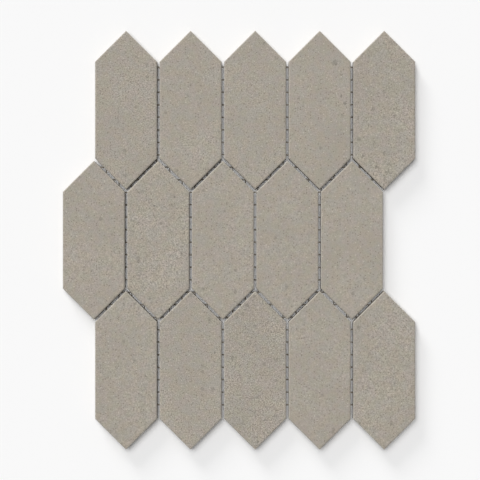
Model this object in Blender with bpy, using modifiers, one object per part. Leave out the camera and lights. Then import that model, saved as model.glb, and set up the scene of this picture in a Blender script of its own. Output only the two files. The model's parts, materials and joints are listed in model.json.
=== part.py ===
"""Mesh-backed sheet of picket tiles.

Fifteen matte porcelain tiles, each a long hexagon with a right-angled point at
both ends, lie face up in three rows of five. Each row is set half a tile
sideways from the next, so that the points of one row fill the notches of the
other. A coated glass-fibre mesh under the tiles carries them as one sheet.

Metres. The sheet lies flat in X and Y with its faces up, and its origin is at
the middle of its underside. Row 1 is at +Y and column 1 at -X.
"""
import math

import bmesh
import bpy

# Tile
TILE_WIDTH = 0.0488
TILE_SIDE = 0.0762
TILE_POINT = 0.0244
TILE_THICKNESS = 0.009
ARRIS = 0.001
ARRIS_STEPS = 2

# Key grooves pressed into the tile's back
GROOVE_COUNT = 4
GROOVE_WIDTH = 0.0055
GROOVE_RIB = 0.0035
GROOVE_DEPTH = 0.0006
GROOVE_RIM = 0.005

# Laying pattern
ROWS = 3
COLUMNS = 5
JOINT = 0.002

# Backing mesh
MESH_PITCH_X = 0.010
MESH_PITCH_Y = 0.0099
MESH_SHIFT_X = 0.005
MESH_SHIFT_Y = -0.0016
MESH_MARGIN = 0.002
STRAND_WIDTH = 0.0012
STRAND_THICKNESS = 0.0005
MESH_BANDS = ("upper", "middle", "lower")

# Clearances between pieces that touch, and how far a cutter stands out of what it cuts
SEAT_GAP = 0.0003
BAND_GAP = 0.0003
CUTTER_REACH = 0.001

# Tolerances for telling points, and flat edges, apart
WELD_DISTANCE = 0.00001
CREASE_ANGLE = math.radians(45)

# Sizes that follow from the ones above
HALF_WIDTH = TILE_WIDTH / 2
SLANT = math.hypot(HALF_WIDTH, TILE_POINT)
COLUMN_PITCH = TILE_WIDTH + JOINT
ROW_PITCH = TILE_SIDE + TILE_POINT + JOINT * (SLANT / HALF_WIDTH - TILE_POINT / TILE_WIDTH)
ROW_OFFSET = COLUMN_PITCH / 4
TILE_BACK = STRAND_THICKNESS + SEAT_GAP

TILE_COLOUR = (0.376, 0.341, 0.292, 1.0)
TILE_ROUGHNESS = 0.75
STRAND_COLOUR = (0.150, 0.140, 0.125, 1.0)
STRAND_ROUGHNESS = 0.7


def clear_scene():
    for obj in list(bpy.data.objects):
        bpy.data.objects.remove(obj, do_unlink=True)


def new_collection(name):
    collection = bpy.data.collections.new(name)
    bpy.context.scene.collection.children.link(collection)
    return collection


def new_material(name, colour, roughness):
    material = bpy.data.materials.new(name)
    material.use_nodes = True
    shader = material.node_tree.nodes["Principled BSDF"]
    shader.inputs["Base Color"].default_value = colour
    shader.inputs["Roughness"].default_value = roughness
    shader.inputs["Metallic"].default_value = 0.0
    return material


def row_centre(row):
    """Middle of a row, counted from 0 at the top: its X, then its Y."""
    side = 1 if row % 2 == 0 else -1
    return side * ROW_OFFSET, ((ROWS - 1) / 2 - row) * ROW_PITCH


def tile_centre(row, column):
    row_x, row_y = row_centre(row)
    return row_x + (column - (COLUMNS - 1) / 2) * COLUMN_PITCH, row_y


def slab_mesh(name, outlines, thickness):
    """Closed mesh of flat outlines, each a list of XY points, centred on Z = 0."""
    curve = bpy.data.curves.new(name, "CURVE")
    curve.dimensions = "2D"
    curve.fill_mode = "BOTH"
    curve.extrude = thickness / 2
    for outline in outlines:
        spline = curve.splines.new("POLY")
        spline.points.add(len(outline) - 1)
        for point, (x, y) in zip(spline.points, outline):
            point.co = (x, y, 0, 1)
        spline.use_cyclic_u = True
    guide = bpy.data.objects.new(name, curve)
    bpy.context.scene.collection.objects.link(guide)
    evaluated = guide.evaluated_get(bpy.context.evaluated_depsgraph_get())
    mesh = bpy.data.meshes.new_from_object(evaluated)
    bpy.data.objects.remove(guide, do_unlink=True)
    form = bmesh.new()
    form.from_mesh(mesh)
    bmesh.ops.remove_doubles(form, verts=form.verts, dist=WELD_DISTANCE)
    bmesh.ops.recalc_face_normals(form, faces=form.faces)
    form.to_mesh(mesh)
    form.free()
    return mesh


def slant_height(x, inset):
    """Height of the pointed end above the tile's middle at x, moved inwards by inset."""
    return TILE_SIDE / 2 + TILE_POINT * (1 - abs(x) / HALF_WIDTH) - inset * SLANT / HALF_WIDTH


def picket_outline():
    side, apex = TILE_SIDE / 2, TILE_SIDE / 2 + TILE_POINT
    return [(HALF_WIDTH, -side), (HALF_WIDTH, side), (0, apex),
            (-HALF_WIDTH, side), (-HALF_WIDTH, -side), (0, -apex)]


def groove_outline(left, right):
    """One long groove whose ends run along the pointed ends, a rim's width inside them."""
    crossings = [left, 0, right] if left < 0 < right else [left, right]
    upper = [(x, slant_height(x, GROOVE_RIM)) for x in crossings]
    lower = [(x, -y) for x, y in reversed(upper)]
    return upper + lower


def groove_cutter(cutters):
    pitch = GROOVE_WIDTH + GROOVE_RIB
    first = -(GROOVE_COUNT - 1) / 2 * pitch - GROOVE_WIDTH / 2
    outlines = [groove_outline(first + i * pitch, first + i * pitch + GROOVE_WIDTH)
                for i in range(GROOVE_COUNT)]
    mesh = slab_mesh("key_grooves", outlines, GROOVE_DEPTH + CUTTER_REACH)
    cutter = bpy.data.objects.new("key_grooves", mesh)
    cutter.location.z = (GROOVE_DEPTH - CUTTER_REACH) / 2
    cutter.hide_render = True
    cutter.display_type = "WIRE"
    cutters.objects.link(cutter)
    return cutter


def weight_front_edges(mesh, height):
    """Marks the edges of the face for the bevel, and leaves those of the back sharp."""
    form = bmesh.new()
    form.from_mesh(mesh)
    weight = form.edges.layers.float.new("bevel_weight_edge")
    for edge in form.edges:
        on_face = all(abs(vertex.co.z - height) < WELD_DISTANCE for vertex in edge.verts)
        creased = edge.calc_face_angle() > CREASE_ANGLE
        edge[weight] = 1.0 if on_face and creased else 0.0
    form.to_mesh(mesh)
    form.free()


def tile_mesh(cutters):
    """One tile, back at Z = 0 and face up, with its arris and its key grooves."""
    mesh = slab_mesh("picket_tile", [picket_outline()], TILE_THICKNESS)
    for vertex in mesh.vertices:
        vertex.co.z += TILE_THICKNESS / 2
    weight_front_edges(mesh, TILE_THICKNESS)
    blank = bpy.data.objects.new("picket_blank", mesh)
    bpy.context.scene.collection.objects.link(blank)

    arris = blank.modifiers.new("arris", "BEVEL")
    arris.limit_method = "WEIGHT"
    arris.width = ARRIS
    arris.segments = ARRIS_STEPS

    keys = blank.modifiers.new("key grooves", "BOOLEAN")
    keys.operation = "DIFFERENCE"
    keys.solver = "EXACT"
    keys.object = groove_cutter(cutters)

    evaluated = blank.evaluated_get(bpy.context.evaluated_depsgraph_get())
    finished = bpy.data.meshes.new_from_object(evaluated)
    finished.name = "picket_tile"
    bpy.data.objects.remove(blank, do_unlink=True)
    return finished


def lay_tiles(parts, cutters, material):
    mesh = tile_mesh(cutters)
    mesh.materials.clear()
    mesh.materials.append(material)
    for row in range(ROWS):
        for column in range(COLUMNS):
            tile = bpy.data.objects.new(f"tile_r{row + 1}_c{column + 1}", mesh)
            tile.location = (*tile_centre(row, column), TILE_BACK)
            parts.objects.link(tile)


def strand_lines(shift, pitch, reach):
    """Middle lines of the strands that run one way, from -reach to +reach."""
    first = math.ceil((-reach - shift) / pitch)
    last = math.floor((reach - shift) / pitch)
    return [shift + i * pitch for i in range(first, last + 1)]


def clear_of_strands(cut, columns):
    """Moves a cut that would split an upright strand inwards, past that strand."""
    for line in columns:
        if abs(cut - line) < STRAND_WIDTH:
            return line - math.copysign(STRAND_WIDTH, cut)
    return cut


def cut_limits(y, columns):
    """Left and right cut of the mesh at y: inside every row whose tiles reach that far."""
    reach = ROW_PITCH - TILE_SIDE / 2
    rows = [row_centre(row) for row in range(ROWS)]
    near = [row_x for row_x, row_y in rows if abs(y - row_y) < reach]
    half = (COLUMNS * COLUMN_PITCH - JOINT) / 2 - MESH_MARGIN
    return (clear_of_strands(max(near) - half, columns),
            clear_of_strands(min(near) + half, columns))


def strand_edges(lines):
    """Both edges of every strand, in order."""
    return [line + side * STRAND_WIDTH / 2 for line in lines for side in (-1, 1)]


def mesh_band(name, parts, material, columns, rows, tail):
    """One band of the mesh: a grid drawn to the strands' edges and the cuts, its openings removed.

    tail is where the upright strands end below the band, or None at the mesh's lower edge.
    """
    cuts = {cut for row in range(ROWS) for cut in cut_limits(row_centre(row)[1], columns)}
    xs = sorted(strand_edges(columns) + list(cuts))
    ys = strand_edges(rows)
    if tail is not None:
        ys.insert(0, tail)
    form = bmesh.new()
    bmesh.ops.create_grid(form, x_segments=len(xs) - 1, y_segments=len(ys) - 1, size=1)
    for vertex in form.verts:
        column = round((vertex.co.x + 1) / 2 * (len(xs) - 1))
        row = round((vertex.co.y + 1) / 2 * (len(ys) - 1))
        vertex.co = (xs[column], ys[row], STRAND_THICKNESS)
    openings = []
    for face in form.faces:
        middle = face.calc_center_median()
        on_upright = any(abs(middle.x - line) < STRAND_WIDTH / 2 for line in columns)
        on_level = any(abs(middle.y - line) < STRAND_WIDTH / 2 for line in rows)
        left, right = cut_limits(middle.y, columns)
        if not (on_upright or on_level) or not left < middle.x < right:
            openings.append(face)
    bmesh.ops.delete(form, geom=openings, context="FACES")
    mesh = bpy.data.meshes.new(name)
    form.to_mesh(mesh)
    form.free()
    mesh.materials.append(material)
    band = bpy.data.objects.new(name, mesh)
    parts.objects.link(band)
    thickness = band.modifiers.new("strand thickness", "SOLIDIFY")
    thickness.thickness = STRAND_THICKNESS
    thickness.offset = -1


def lay_mesh(parts, material):
    """The mesh in bands that meet just above a level strand, each a node of its own."""
    shoulder = (ROWS - 1) / 2 * ROW_PITCH + TILE_SIDE / 2 - STRAND_WIDTH
    side = (COLUMNS * COLUMN_PITCH - JOINT) / 2 + ROW_OFFSET - MESH_MARGIN
    columns = strand_lines(MESH_SHIFT_X, MESH_PITCH_X, side)
    rows = strand_lines(MESH_SHIFT_Y, MESH_PITCH_Y, shoulder)
    share = len(rows) / len(MESH_BANDS)
    for index, place in enumerate(reversed(MESH_BANDS)):
        start, end = round(index * share), round((index + 1) * share)
        tail = rows[start - 1] + STRAND_WIDTH / 2 + BAND_GAP if index else None
        mesh_band(f"backing_mesh_{place}", parts, material, columns, rows[start:end], tail)


def build():
    clear_scene()
    parts = new_collection("picket_tile_sheet")
    cutters = new_collection("cutters")
    porcelain = new_material("matte_porcelain", TILE_COLOUR, TILE_ROUGHNESS)
    fibre = new_material("coated_glass_fibre", STRAND_COLOUR, STRAND_ROUGHNESS)
    lay_tiles(parts, cutters, porcelain)
    lay_mesh(parts, fibre)


build()
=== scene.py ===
import json
import math

import bpy
import numpy as np
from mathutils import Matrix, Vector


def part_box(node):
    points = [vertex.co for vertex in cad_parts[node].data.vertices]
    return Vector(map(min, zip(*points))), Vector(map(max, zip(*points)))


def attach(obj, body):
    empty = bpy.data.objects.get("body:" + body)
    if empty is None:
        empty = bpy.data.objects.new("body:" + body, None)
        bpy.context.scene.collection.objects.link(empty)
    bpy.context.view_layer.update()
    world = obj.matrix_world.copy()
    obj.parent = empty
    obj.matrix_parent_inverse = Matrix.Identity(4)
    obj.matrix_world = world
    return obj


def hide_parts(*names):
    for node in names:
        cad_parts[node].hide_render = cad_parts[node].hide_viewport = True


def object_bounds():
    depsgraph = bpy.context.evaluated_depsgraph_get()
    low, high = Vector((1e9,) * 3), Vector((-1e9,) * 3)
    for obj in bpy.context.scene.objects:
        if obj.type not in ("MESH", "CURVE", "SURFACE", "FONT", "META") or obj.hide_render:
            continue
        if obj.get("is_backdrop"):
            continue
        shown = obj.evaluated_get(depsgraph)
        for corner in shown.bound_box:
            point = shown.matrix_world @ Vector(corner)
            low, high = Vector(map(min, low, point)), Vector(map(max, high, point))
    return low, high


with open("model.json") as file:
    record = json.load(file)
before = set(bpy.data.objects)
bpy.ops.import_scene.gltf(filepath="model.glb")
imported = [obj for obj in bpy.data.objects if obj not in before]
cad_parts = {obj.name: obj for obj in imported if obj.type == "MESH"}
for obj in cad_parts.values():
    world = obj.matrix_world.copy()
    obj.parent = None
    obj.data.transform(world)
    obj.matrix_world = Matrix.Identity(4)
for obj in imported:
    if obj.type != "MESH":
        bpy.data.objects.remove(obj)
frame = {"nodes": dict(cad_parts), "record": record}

cad_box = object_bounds()


# The fifteen tiles are dry-pressed porcelain, fired to a matte face like fine concrete. A small eased bevel
# runs round it over straight walls of raw body. The bevel is coloured paler than the face, partly as a ground
# edge and partly as a painted highlight. Four shallow grooves in the back key the tile into its adhesive.
# Each tile is glued to the backing mesh, a joint's width from the next.

LINE_STEP = 0.0010
ARRIS = 0.0010
ARRIS_FULLNESS = 1.4
ARRIS_STEPS = 6
ARRIS_UNEVEN = 0.2
ARRIS_WAVES = (0.004, 0.030)
FACE_SWELL = 0.00004
FACE_WAVES = (0.006, 0.040)
WALL_STEPS = 7
WALL_UNEVEN = 0.00006
WALL_WAVES = (0.002, 0.015)
FOOT_ROUND = 0.0003
GROOVE_COUNT = 4
GROOVE_WIDTH = 0.0055
GROOVE_RIB = 0.0035
GROOVE_DEPTH = 0.0006
GROOVE_RIM = 0.005
GROOVE_DRAFT = 0.0003
SHARP_ANGLE = math.radians(40)
DIAGONAL = math.sqrt(2)


def lines_through(stops, step):
    """Places along one axis: all the stops, with each stretch between two of them in equal parts."""
    stops = np.unique(np.round(stops, 7))
    stretches = [np.linspace(start, end, max(1, math.ceil((end - start) / step - 0.01)), endpoint=False)
                 for start, end in zip(stops[:-1], stops[1:])]
    return np.append(np.concatenate(stretches), stops[-1])


def picket_lines(half_width, side):
    """Upright lines across the tile, and level lines given by their height at its straight sides.

    Both crowd into the arris, at the distances from the edge where its curve has run through even steps.
    The pointed ends run at 45 degrees to the level lines, so there those distances are root 2 times larger.
    """
    into_arris = ARRIS * (1 - np.cos(np.linspace(0, math.pi / 2, ARRIS_STEPS + 1)) ** (2 / ARRIS_FULLNESS))
    middles = (np.arange(GROOVE_COUNT) - (GROOVE_COUNT - 1) / 2) * (GROOVE_WIDTH + GROOVE_RIB)
    wall = np.array([GROOVE_WIDTH / 2, GROOVE_WIDTH / 2 - GROOVE_DRAFT])
    grooves = np.add.outer(middles, np.append(wall, -wall)).ravel()
    edges = half_width - into_arris
    ends = side - DIAGONAL * np.append(into_arris, [GROOVE_RIM, GROOVE_RIM + GROOVE_DRAFT])
    across = np.concatenate([[0], edges, -edges, grooves])
    along = np.concatenate([[0], ends, -ends])
    return lines_through(across, LINE_STEP), lines_through(along, LINE_STEP)


def picket_grid(across, along, half_width, side):
    """Plan of a tile as a grid, with each point's distance in from the side walls and from the pointed ends.

    x is the upright line's place. y is the level line's height at the side, plus a share of the height that
    the right-angled point has at x, which is the half width less the distance from the middle. That share
    grows evenly from nothing at mid-length to the whole, which it reaches where the grooves end.
    """
    straight = side - DIAGONAL * (GROOVE_RIM + GROOVE_DRAFT)
    x, height = np.meshgrid(across, along, indexing="ij")
    point = half_width - np.abs(x)
    y = height + point * np.clip(height / straight, -1, 1)
    return x, y, point, (side + point - np.abs(y)) / DIAGONAL


def waves(x, y, seed, shortest, longest, count=28):
    """Smooth random relief from -1 to 1: a clipped sum of plane waves of random heading, length and phase."""
    draw = np.random.default_rng(seed)
    heading = draw.uniform(0, 2 * math.pi, count)
    length = shortest * (longest / shortest) ** draw.uniform(0, 1, count)
    phase = draw.uniform(0, 2 * math.pi, count)
    relief = np.zeros_like(x)
    for turn, span, start in zip(heading, length, phase):
        relief += np.sin((x * math.cos(turn) + y * math.sin(turn)) * 2 * math.pi / span + start)
    return np.clip(relief / math.sqrt(count), -1, 1)


def eased_edge(distance, width, fullness):
    """Drop below a face at this distance in from its edge.

    Take the way out from the bevel's inner line and the height over its foot, both as shares of the width.
    Raised to the power of fullness, they add up to 1: power 1 is a straight bevel and 2 a quarter circle.
    """
    inside = 1 - np.clip(distance / width, 0, 1)
    return width * (1 - (1 - inside ** fullness) ** (1 / fullness))


def key_grooves(x, from_end):
    """Depth of the grooves down the back: whole inside their width and the rim, with sloped walls."""
    pitch = GROOVE_WIDTH + GROOVE_RIB
    off_middle = np.abs(np.abs(x) % pitch - pitch / 2)
    within = np.minimum(GROOVE_WIDTH / 2 - off_middle, from_end - GROOVE_RIM)
    within[np.abs(x) > GROOVE_COUNT / 2 * pitch] = 0
    return GROOVE_DEPTH * np.clip(within / GROOVE_DRAFT, 0, 1)


def border(grid):
    """The outer numbers of a grid in order, anticlockwise seen from above."""
    return np.concatenate([grid[:-1, 0], grid[-1, :-1], grid[:0:-1, -1], grid[0, :0:-1]])


def inwards(loop):
    """For each point of a closed outline, the step that moves both its edges in by one unit."""
    ahead = np.roll(loop, -1, 0) - loop
    ahead /= np.linalg.norm(ahead, axis=1, keepdims=True)
    inner = np.stack([-ahead[:, 1], ahead[:, 0]], 1)
    before = np.roll(inner, 1, 0)
    return (inner + before) / (1 + (inner * before).sum(1, keepdims=True))


def grid_faces(grid):
    """Quads of a grid of vertex numbers, facing the side where its first index runs right and second up."""
    return np.stack([grid[:-1, :-1], grid[1:, :-1], grid[1:, 1:], grid[:-1, 1:]], -1).reshape(-1, 4)


def new_piece(name, points, faces, material):
    """A smooth-shaded mesh object at the origin, creased where its faces turn by more than SHARP_ANGLE."""
    mesh = bpy.data.meshes.new(name)
    mesh.from_pydata(points, [], faces)
    mesh.materials.append(material)
    mesh.shade_smooth()
    mesh.set_sharp_from_angle(angle=SHARP_ANGLE)
    piece = bpy.data.objects.new(name, mesh)
    bpy.context.scene.collection.objects.link(piece)
    return piece


def press_tile(name, node, seed, material):
    """One tile as a closed skin in the place of its node: face, walls and grooved back.

    The face is level less the arris and a swell of a few hundredths of a millimetre. A wall is a stack of
    rings between the foot and the arris, each moved inwards by a random relief that fades out at both ends.
    """
    lowest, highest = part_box(node)
    middle = (lowest + highest) / 2
    half_width = (highest.x - lowest.x) / 2
    side = (highest.y - lowest.y) / 2 - half_width
    x, y, from_side, from_end = picket_grid(*picket_lines(half_width, side), half_width, side)
    from_edge = np.minimum(from_side, from_end)

    arris = ARRIS * (1 - ARRIS_UNEVEN * (1 + waves(x, y, seed, *ARRIS_WAVES)) / 2)
    swell = FACE_SWELL * (1 + waves(x, y, seed + 1, *FACE_WAVES)) / 2 * np.clip(from_edge / ARRIS, 0, 1)
    face = highest.z - eased_edge(from_edge, arris, ARRIS_FULLNESS) - swell
    back = lowest.z + eased_edge(from_edge, FOOT_ROUND, 2) + key_grooves(x, from_end)
    face_points = np.stack([x, y, face], -1)
    back_points = np.stack([x, y, back], -1)

    face_grid = np.arange(x.size).reshape(x.shape)
    back_grid = face_grid + x.size
    rim = face_points.reshape(-1, 3)[border(face_grid)]
    foot = back_points.reshape(-1, 3)[border(face_grid)]
    share = np.linspace(0, 1, WALL_STEPS + 2)[1:-1, None]
    rings = foot + (rim - foot) * share[..., None]
    right, up = rings[..., 0] + rings[..., 2], rings[..., 1] - rings[..., 2]
    relief = 1 + waves(right, up, seed + 2, *WALL_WAVES)
    inset = WALL_UNEVEN * relief * np.sin(math.pi * share)
    rings[..., :2] += inwards(rim[:, :2]) * inset[..., None]
    ring_grid = 2 * x.size + np.arange(inset.size).reshape(inset.shape)

    wall_grid = np.vstack([border(back_grid), ring_grid, border(face_grid)]).T
    wall_grid = np.vstack([wall_grid, wall_grid[:1]])
    faces = np.concatenate([grid_faces(face_grid), grid_faces(back_grid)[:, ::-1], grid_faces(wall_grid)])
    points = np.concatenate([part.reshape(-1, 3) for part in (face_points, back_points, rings)])
    return new_piece(name, points + [middle.x, middle.y, 0], faces, material)


class Shade:
    """One output among a material's nodes. Arithmetic on it adds Math nodes; node() adds any other kind."""

    def __init__(self, tree, socket):
        self.tree = tree
        self.socket = socket

    def node(self, kind, settings, sockets, output=None):
        """Adds a node: its settings are set first, then each named socket gets its value or its link."""
        node = self.tree.nodes.new(kind)
        for name, value in settings.items():
            setattr(node, name, value)
        for name, value in sockets.items():
            socket = next(s for s in node.inputs if s.enabled and name in (s.identifier, s.name))
            if isinstance(value, Shade):
                self.tree.links.new(value.socket, socket)
            else:
                socket.default_value = value
        return Shade(self.tree, next(s for s in node.outputs if s.enabled and output in (None, s.name)))

    def math(self, operation, first, second):
        return self.node("ShaderNodeMath", {"operation": operation}, {"Value": first, "Value_001": second})

    def __add__(self, other):
        return self.math("ADD", self, other)

    def __sub__(self, other):
        return self.math("SUBTRACT", self, other)

    def __mul__(self, other):
        return self.math("MULTIPLY", self, other)

    def __radd__(self, other):
        return self.math("ADD", other, self)

    def __rsub__(self, other):
        return self.math("SUBTRACT", other, self)

    def __rmul__(self, other):
        return self.math("MULTIPLY", other, self)

    def rise(self, start, end):
        """0 before start, 1 after end and a smooth step between them; start may be the larger."""
        return self.node("ShaderNodeMapRange", {"interpolation_type": "SMOOTHSTEP"},
                         {"Value": self, "From Min": start, "From Max": end})

    def blend(self, first, second):
        """Mixes two colours: the first where this value is 0, and the second where it is 1."""
        return self.node("ShaderNodeMix", {"data_type": "RGBA"}, {"Factor": self, "A": first, "B": second})

    def vector(self, operation, other):
        """Vector Math between this vector and another one."""
        return self.node("ShaderNodeVectorMath", {"operation": operation},
                         {"Vector": self, "Vector_001": other})

    def scaled(self, factor):
        """This colour or vector times a value."""
        return self.node("ShaderNodeVectorMath", {"operation": "SCALE"}, {"Vector": self, "Scale": factor})

    def noise(self, size, detail=0.0, output="Fac"):
        """Noise at this place with features of about this size in metres; the middle of its range is 0.5."""
        sockets = {"Vector": self, "Scale": 1 / size, "Detail": detail}
        return self.node("ShaderNodeTexNoise", {}, sockets, output)

    def channel(self, name):
        """The Red, Green or Blue of this colour."""
        return self.node("ShaderNodeSeparateColor", {}, {"Color": self}, name)

    def along(self, axis):
        """The X, Y or Z of this vector."""
        return self.node("ShaderNodeSeparateXYZ", {}, {"Vector": self}, axis)

    def bump(self, strength, distance):
        """The normal of a surface whose relief is this value times the distance in metres."""
        return self.node("ShaderNodeBump", {}, {"Strength": strength, "Distance": distance, "Height": self})

    def cells(self, pitch):
        """Points scattered over the plan, about a pitch apart.

        Gives the distance to the nearest one, where 1 is the pitch, and a random value that is its own.
        """
        plan, sockets = {"voronoi_dimensions": "2D"}, {"Vector": self, "Scale": 1 / pitch}
        nearest = self.node("ShaderNodeTexVoronoi", plan, sockets)
        return nearest, self.node("ShaderNodeTexVoronoi", plan, sockets, "Color").channel("Red")


def new_finish(name):
    """A new material, and the Object coordinates that its finish is built from."""
    material = bpy.data.materials.new(name)
    material.use_nodes = True
    tree = material.node_tree
    return material, Shade(tree, tree.nodes.new("ShaderNodeTexCoord").outputs["Object"])


def set_finish(material, sockets):
    """Gives the material's own shader its values and links."""
    shader = material.node_tree.nodes["Principled BSDF"]
    for name, value in sockets.items():
        if isinstance(value, Shade):
            material.node_tree.links.new(value.socket, shader.inputs[name])
        else:
            shader.inputs[name].default_value = value


PINKISH_FACE = (0.3710, 0.3270, 0.2760, 1)
GREENISH_FACE = (0.3590, 0.3310, 0.2780, 1)
YELLOW_CAST = (1.0, 1.0, 0.97, 1)
BLUE_CAST = (1.0, 1.0, 1.03, 1)
# The arris colour is paler than the face: partly a ground edge, partly a painted highlight of the lit bevel.
PALE_ARRIS_AND_PAINTED_HIGHLIGHT = (0.500, 0.467, 0.415, 1)
RAW_BODY = (0.290, 0.244, 0.187, 1)
GREY_BODY = (0.268, 0.230, 0.182, 1)
DARK_SPECK = (0.205, 0.178, 0.145, 1)
PALE_SPECK = (0.560, 0.515, 0.440, 1)
STAIN = (0.182, 0.168, 0.140, 1)
# Sizes and pitches are in metres, and depths are shares of a colour's brightness or of its mix. A pair named
# EDGE, DARK, PALE or STARTS says where nothing shows yet and where the whole does. STARTS counts in arris
# depths below the face.
GRAIN_SIZE, GRAIN_DEPTH = 0.0011, 0.80
GRIT_SIZE, GRIT_DEPTH = 0.00055, 0.60
DRIFT_SIZE, DRIFT_DEPTH = 0.035, 0.14
CALM_GRAIN, ROUGH_GAIN = 0.6, 0.6
KILN_SPREAD = 0.012
CLOUD_SIZE = 0.008
CLOUD_EDGE = (0.38, 0.62)
DRIFT_EDGE = (0.35, 0.65)
SPECK_PITCH = 0.0020
SPECK_EDGE = (0.30, 0.12)
SPECKS_DARK = (0.82, 0.88)
SPECKS_PALE = (0.11, 0.06)
DARK_DEPTH, PALE_DEPTH = 0.9, 0.7
PIT_PITCH = 0.0085
PIT_SHARE = 0.085
PIT_EDGE = (0.25, 0.12)
PIT_RAGGED = 0.18
PIT_SIZES = 0.10
PIT_DEPTH = 0.4
MARK_EDGE = (1.15, 0.55)
MARK_RAGGED = 1.6
MILLIMETRE = 0.001
FACE_STARTS = (0.4, 0.1)
ARRIS_STARTS = (1.15, 0.95)
GRAIN_RELIEF, GRIT_RELIEF, SPECK_RELIEF = 0.6, 0.4, 0.5
FACE_BUMP, FACE_RELIEF = 0.35, 0.0002
FACE_ROUGHNESS, ROUGHNESS_SPREAD = 0.70, 0.3
FACE_SHINE = 0.35
FINISH_SEED = 300
SEEDS_PER_TILE = 10

# Marks of the press and the kiln on single tiles: millimetres right of and above the tile's middle, then half
# the mark's width and half its height, and how dark it is.
MARKS = {
    "tile_r1_c4": [(12, 37, 2.5, 2.5, 0.45), (17, 28, 1.5, 0.7, 0.4), (17, 11, 1.0, 2.0, 0.6),
                   (20, 5, 1.2, 1.2, 0.6)],
    "tile_r1_c5": [(-17, 44, 1.2, 1.0, 0.6), (-20, -23, 2.0, 2.0, 0.4), (-6, -45, 2.0, 1.5, 0.6),
                   (4, -49, 2.0, 1.5, 0.35), (4, -43, 1.5, 1.5, 0.4)],
    "tile_r2_c2": [(-13, 38, 4.0, 1.2, 0.35), (13, 34, 1.0, 1.0, 0.8), (-3, 27, 1.0, 0.8, 0.7),
                   (-3, 18, 0.7, 0.7, 0.6), (18, 25, 0.7, 0.7, 0.6), (23, 1, 0.8, 0.8, 0.7)],
    "tile_r2_c3": [(-4, 23, 0.7, 0.7, 0.6), (0, 10, 0.7, 0.7, 0.6), (-7, -16, 0.7, 0.7, 0.6)],
    "tile_r3_c2": [(15, 40, 1.5, 4.0, 0.35), (19, 14, 1.0, 1.0, 0.7)],
    "tile_r3_c3": [(-6, 51, 1.5, 2.0, 0.6), (2, -21, 1.5, 1.5, 0.5), (16, 8, 2.0, 1.2, 0.4),
                   (-12, 4, 1.2, 1.5, 0.45), (2, -56, 1.0, 1.0, 0.8)],
}
# How grainy each face is; most are near 1.
GRAIN = {
    "tile_r1_c1": 1.25, "tile_r1_c2": 1.00, "tile_r1_c3": 1.00, "tile_r1_c4": 0.70, "tile_r1_c5": 1.25,
    "tile_r2_c1": 0.85, "tile_r2_c2": 1.30, "tile_r2_c3": 0.85, "tile_r2_c4": 0.80, "tile_r2_c5": 0.70,
    "tile_r3_c1": 1.05, "tile_r3_c2": 1.50, "tile_r3_c3": 1.90, "tile_r3_c4": 0.80, "tile_r3_c5": 1.15,
}


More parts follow.
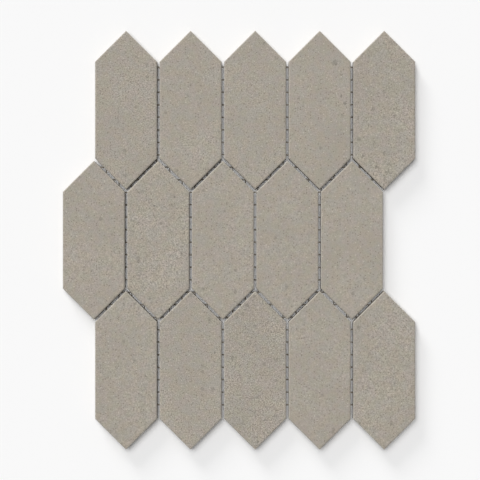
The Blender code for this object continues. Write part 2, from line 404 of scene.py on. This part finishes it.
def porcelain(name, node, draw, grain):
    """Matte porcelain of one tile: a clouded face with grain, grit, specks and pits, a paler arris that is
    partly a painted highlight, and raw body elsewhere.

    The pattern is read at a random place of its own, so that it breaks off at each joint.
    """
    lowest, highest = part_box(node)
    material, place = new_finish(name)
    pattern = place.vector("ADD", tuple(draw.uniform(1, 9, 3)))
    fine = pattern.noise(GRAIN_SIZE, 1.0)
    grit = pattern.noise(GRIT_SIZE, 1.0)
    cloud = pattern.noise(CLOUD_SIZE, 2.0, "Color")
    flush = cloud.channel("Red").rise(*CLOUD_EDGE)
    cast = cloud.channel("Green").rise(*CLOUD_EDGE)
    drift = pattern.noise(DRIFT_SIZE, 1.0)
    rough_area = drift.rise(*DRIFT_EDGE)

    near_speck, chance = pattern.cells(SPECK_PITCH)
    speck = near_speck.rise(*SPECK_EDGE)
    dark = speck * chance.rise(*SPECKS_DARK)
    pale = speck * chance.rise(*SPECKS_PALE)
    near_pit, chance = pattern.cells(PIT_PITCH)
    share = PIT_SHARE * grain * grain
    ragged = near_pit + (fine - 0.5) * PIT_RAGGED + chance * (PIT_SIZES / share)
    pit = ragged.rise(*PIT_EDGE) * chance.rise(share, share * 0.9)

    level = 1 + (fine - 0.5) * (grain * GRAIN_DEPTH) * (CALM_GRAIN + rough_area * ROUGH_GAIN)
    level = level + (grit - 0.5) * (grain * GRIT_DEPTH) + (drift - 0.5) * DRIFT_DEPTH
    level = level + draw.uniform(-KILN_SPREAD, KILN_SPREAD)
    ground = flush.blend(PINKISH_FACE, GREENISH_FACE)
    ground = ground.vector("MULTIPLY", cast.blend(YELLOW_CAST, BLUE_CAST)).scaled(level)
    face = (pale * PALE_DEPTH).blend((dark * DARK_DEPTH).blend(ground, DARK_SPECK), PALE_SPECK)
    face = (pit * PIT_DEPTH).blend(face, STAIN)
    relief = fine * GRAIN_RELIEF + grit * GRIT_RELIEF - dark * SPECK_RELIEF - pit * PIT_DEPTH

    middle = (lowest + highest) / 2
    for right, above, half_width, half_height, depth in MARKS.get(node, []):
        centre = (middle.x + right * MILLIMETRE, middle.y + above * MILLIMETRE, 0)
        stretch = (1 / (half_width * MILLIMETRE), 1 / (half_height * MILLIMETRE), 0)
        reach = place.vector("SUBTRACT", centre).vector("MULTIPLY", stretch)
        reach = reach.node("ShaderNodeVectorMath", {"operation": "LENGTH"}, {"Vector": reach}, "Value")
        mark = (reach + (fine - 0.5) * MARK_RAGGED).rise(*MARK_EDGE)
        face = (mark * depth).blend(face, STAIN)
        relief = relief - mark * depth

    height = place.along("Z")
    on_face = height.rise(*(highest.z - ARRIS * depths for depths in FACE_STARTS))
    on_arris = height.rise(*(highest.z - ARRIS * depths for depths in ARRIS_STARTS))
    # Below the face the arris gets the paler colour, partly a ground edge and partly a painted highlight;
    # walls and back are raw body.
    edge = on_arris.blend(rough_area.blend(RAW_BODY, GREY_BODY), PALE_ARRIS_AND_PAINTED_HIGHLIGHT).scaled(level)
    colour = on_face.blend(edge, face)
    roughness = FACE_ROUGHNESS + (fine - 0.5) * ROUGHNESS_SPREAD
    set_finish(material, {"Base Color": colour, "Roughness": roughness, "Specular IOR Level": FACE_SHINE,
                          "Normal": relief.bump(FACE_BUMP, FACE_RELIEF)})
    return material


for number, node in enumerate(sorted(name for name in frame["nodes"] if name.startswith("tile_"))):
    draw = np.random.default_rng(FINISH_SEED + number)
    finish = porcelain(f"matte_porcelain_{node}", node, draw, GRAIN[node])
    tile = press_tile(f"porcelain_{node}", node, SEEDS_PER_TILE * number, finish)
    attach(tile, "root")
    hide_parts(node)


# The backing mesh is woven from coated glass-fibre yarn. Flat yarns run level, and pairs of finer yarns run
# upright, one over each flat yarn and the other under it, with half a turn between crossings. The coating
# glues the crossings, and the cut ends stop just inside the tiles' outline.

LEVEL_PITCH = 0.0099
UPRIGHT_PITCH = 0.0100
FLAT_YARN = (0.0012, 0.00016)
FINE_YARN = (0.00055, 0.00017)
PAIR_SPREAD = 0.00028
YARN_STEP = 0.00125
FLAT_SIDES = 8
FINE_SIDES = 6
YARN_SWELL = 0.10
SWELL_WAVES = (0.004, 0.020)
YARN_WOBBLE = 0.00012
WOBBLE_WAVES = (0.015, 0.060)
ON_LINE = 0.6
FIBRE_DARK = (0.245, 0.213, 0.170, 1)
FIBRE_PALE = (0.460, 0.412, 0.342, 1)
FILAMENTS = 7
FILAMENT_TWIST = 140
FILAMENT_DEPTH = 0.15
PATCH_SIZE = 0.004
COATING_EDGE = (0.25, 0.80)
YARN_BUMP, YARN_RELIEF = 0.5, 0.00005
YARN_ROUGHNESS, YARN_DULLING = 0.50, 0.25
SEEDS_PER_BAND = 1000


def glass_fibre(name):
    """Coated yarn: dark coating over filaments, which show as stripes that wind slowly along the yarn."""
    material, place = new_finish(name)
    wound = place.node("ShaderNodeUVMap", {"uv_map": "yarn"}, {})
    angle = (wound.along("X") * FILAMENTS + wound.along("Y") * FILAMENT_TWIST) * (2 * math.pi)
    filament = place.node("ShaderNodeMath", {"operation": "SINE"}, {"Value": angle})
    patchy = place.noise(PATCH_SIZE, 2.0)
    colour = (filament * FILAMENT_DEPTH + patchy).rise(*COATING_EDGE).blend(FIBRE_DARK, FIBRE_PALE)
    set_finish(material, {"Base Color": colour, "Roughness": YARN_ROUGHNESS + patchy * YARN_DULLING,
                          "Normal": (filament + patchy).bump(YARN_BUMP, YARN_RELIEF)})
    return material


def yarn(path, side, size, sides, seed):
    """Points, faces and corner UVs of one closed yarn.

    Each ring of the yarn is an ellipse about a point of the path, as wide as size says along side and as
    thick as it says upwards. The UVs count turns round the yarn and metres along it.
    """
    width, thickness = size
    swell = 1 + YARN_SWELL * waves(path[:, 0], path[:, 1], seed, *SWELL_WAVES)
    angle = np.linspace(0, 2 * math.pi, sides, endpoint=False)
    outward = np.multiply.outer(swell * width / 2, np.cos(angle))[..., None] * side
    points = path[:, None] + outward
    points[..., 2] += np.sin(angle) * thickness / 2
    grid = np.arange(points.shape[0] * sides).reshape(points.shape[:2])
    wrapped = np.column_stack([grid, grid[:, :1]])
    faces = grid_faces(wrapped)
    run = np.linalg.norm(path - path[0], axis=1)
    turns = np.arange(sides + 1) / sides
    plan = np.stack(np.meshgrid(run, turns, indexing="ij")[::-1], -1)
    corners = [plan[:-1, :-1], plan[1:, :-1], plan[1:, 1:], plan[:-1, 1:]]
    uvs = np.stack(corners, -2).reshape(-1, 4, 2)
    return points.reshape(-1, 3), faces, uvs, [grid[0][::-1], grid[-1]]


def unbroken(places):
    """Start and end of each stretch whose neighbouring places lie no further apart than an opening."""
    places = np.unique(np.round(places, 5))
    gaps = np.flatnonzero(np.diff(places) > max(LEVEL_PITCH, UPRIGHT_PITCH))
    return zip(places[np.append(0, gaps + 1)], places[np.append(gaps, -1)])


def yarn_paths(strands, axis, crossing, pitch, level, seed):
    """Paths of the yarns that run along one axis of the mesh, a little unsteady in their course.

    Each line of the weave gets a yarn over every unbroken stretch of the strands found on it, which are those
    with corners no further off than ON_LINE of a flat yarn's width.
    """
    other = 1 - axis
    across = strands[:, other] - crossing[other]
    for number in range(math.ceil(across.min() / pitch), math.floor(across.max() / pitch) + 1):
        on_line = np.abs(across - number * pitch) < FLAT_YARN[0] * ON_LINE
        for start, end in unbroken(strands[on_line, axis]):
            seed += 1
            path = np.zeros((max(2, round((end - start) / YARN_STEP)) + 1, 3))
            path[:, axis] = np.linspace(start, end, len(path))
            path[:, other] = crossing[other] + number * pitch
            path[:, 2] = level
            path[:, other] += YARN_WOBBLE * waves(path[:, 0], path[:, 1], seed, *WOBBLE_WAVES)
            yield path, seed


def woven_band(name, node, crossing, seed, material):
    """One band of the mesh in the place of its node, whose strands say where each yarn starts and ends."""
    lowest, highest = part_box(node)
    corners = frame["nodes"][node].data.vertices
    strands = np.empty((len(corners), 3))
    corners.foreach_get("co", strands.ravel())
    level = (lowest.z + highest.z) / 2
    rise = (highest.z - lowest.z - FINE_YARN[1]) / 2
    across, along = np.eye(3)[:2]
    yarns = [yarn(path, along, FLAT_YARN, FLAT_SIDES, number)
             for path, number in yarn_paths(strands, 0, crossing, LEVEL_PITCH, level, seed)]
    for path, number in yarn_paths(strands, 1, crossing, UPRIGHT_PITCH, level, seed + SEEDS_PER_BAND // 2):
        twist = math.pi * (path[:, 1] - crossing[1]) / LEVEL_PITCH
        swing = PAIR_SPREAD * np.sin(twist)[:, None] * across + rise * np.cos(twist)[:, None] * [0, 0, 1]
        yarns += [yarn(path + hand * swing, across, FINE_YARN, FINE_SIDES, number + hand) for hand in (-1, 1)]
    offsets = np.cumsum([0] + [len(points) for points, *_ in yarns])
    points = np.concatenate([points for points, *_ in yarns])
    faces = [face for (_, quads, _, _), offset in zip(yarns, offsets) for face in (quads + offset).tolist()]
    uvs = np.concatenate([corners.reshape(-1, 2) for _, _, corners, _ in yarns])
    caps = [(cap + offset).tolist() for (_, _, _, ends), offset in zip(yarns, offsets) for cap in ends]
    band = new_piece(name, points, faces + caps, material)
    layer = band.data.uv_layers.new(name="yarn")
    flat = np.zeros(len(band.data.loops) * 2, np.float32)
    flat[:uvs.size] = uvs.ravel()
    layer.data.foreach_set("uv", flat)
    return band


# The record's one mount is at a crossing of the weave, and its lines are counted from there.
crossing = frame["record"]["mounts"][0]["pos_m"]
fibre = glass_fibre("coated_glass_fibre")
for number, node in enumerate(sorted(name for name in frame["nodes"] if name.startswith("backing_mesh_"))):
    band = woven_band(f"woven_{node}", node, crossing, SEEDS_PER_BAND * (number + 1), fibre)
    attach(band, "root")
    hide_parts(node)


# The sheet lies on a plain white table. A high soft lamp stands to its upper left, with a low window beyond
# it, a weaker lamp almost overhead and some light from the room. A long lens looks straight down.

FLOOR_WHITE = (0.955, 0.955, 0.955, 1)
FLOOR_SIZE = 12.0
ROOM_LEVEL = 0.17
CAMERA_HEIGHT = 1.3109
CAMERA_PLACE = (0.00079, 0.00015)
LENS = 125.0


def soft_lamp(name, level, azimuth, elevation, width):
    """A far, wide lamp whose light is even over the sheet.

    level is the share of its own colour that a level face shows by it, and width the angle the lamp fills.
    """
    turn, tilt = math.radians(azimuth), math.radians(elevation)
    light = bpy.data.lights.new(name, "SUN")
    light.angle = math.radians(width)
    light.energy = level * math.pi / math.sin(tilt)
    lamp = bpy.data.objects.new(name, light)
    lamp.rotation_euler = (math.pi / 2 - tilt, 0, turn + math.pi / 2)
    bpy.context.scene.collection.objects.link(lamp)


table_white, _ = new_finish("table_white")
set_finish(table_white, {"Base Color": FLOOR_WHITE, "Roughness": 0.9, "Specular IOR Level": 0.0})
half = FLOOR_SIZE / 2
corners = [(-half, -half, 0), (half, -half, 0), (half, half, 0), (-half, half, 0)]
table = new_piece("table", corners, [(0, 1, 2, 3)], table_white)
table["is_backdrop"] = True

soft_lamp("key_lamp", level=0.485, azimuth=125, elevation=70, width=40)
soft_lamp("window_lamp", level=0.145, azimuth=118, elevation=20, width=20)
soft_lamp("overhead_lamp", level=0.19, azimuth=132, elevation=82, width=30)

world = bpy.data.worlds.new("room")
world.use_nodes = True
background = world.node_tree.nodes["Background"]
background.inputs["Color"].default_value = (1, 1, 1, 1)
seen = Shade(world.node_tree, world.node_tree.nodes.new("ShaderNodeLightPath").outputs["Is Camera Ray"])
world.node_tree.links.new((seen * (1 - ROOM_LEVEL) + ROOM_LEVEL).socket, background.inputs["Strength"])
bpy.context.scene.world = world

lens = bpy.data.cameras.new("camera")
lens.lens = LENS
camera = bpy.data.objects.new("camera", lens)
camera.location = (*CAMERA_PLACE, cad_box[1].z + CAMERA_HEIGHT)
bpy.context.scene.collection.objects.link(camera)
bpy.context.scene.camera = camera
bpy.context.scene.view_settings.view_transform = "Standard"

boxes = {"cad": cad_box, "visual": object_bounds()}
{name: [list(corner) for corner in box] for name, box in boxes.items()}
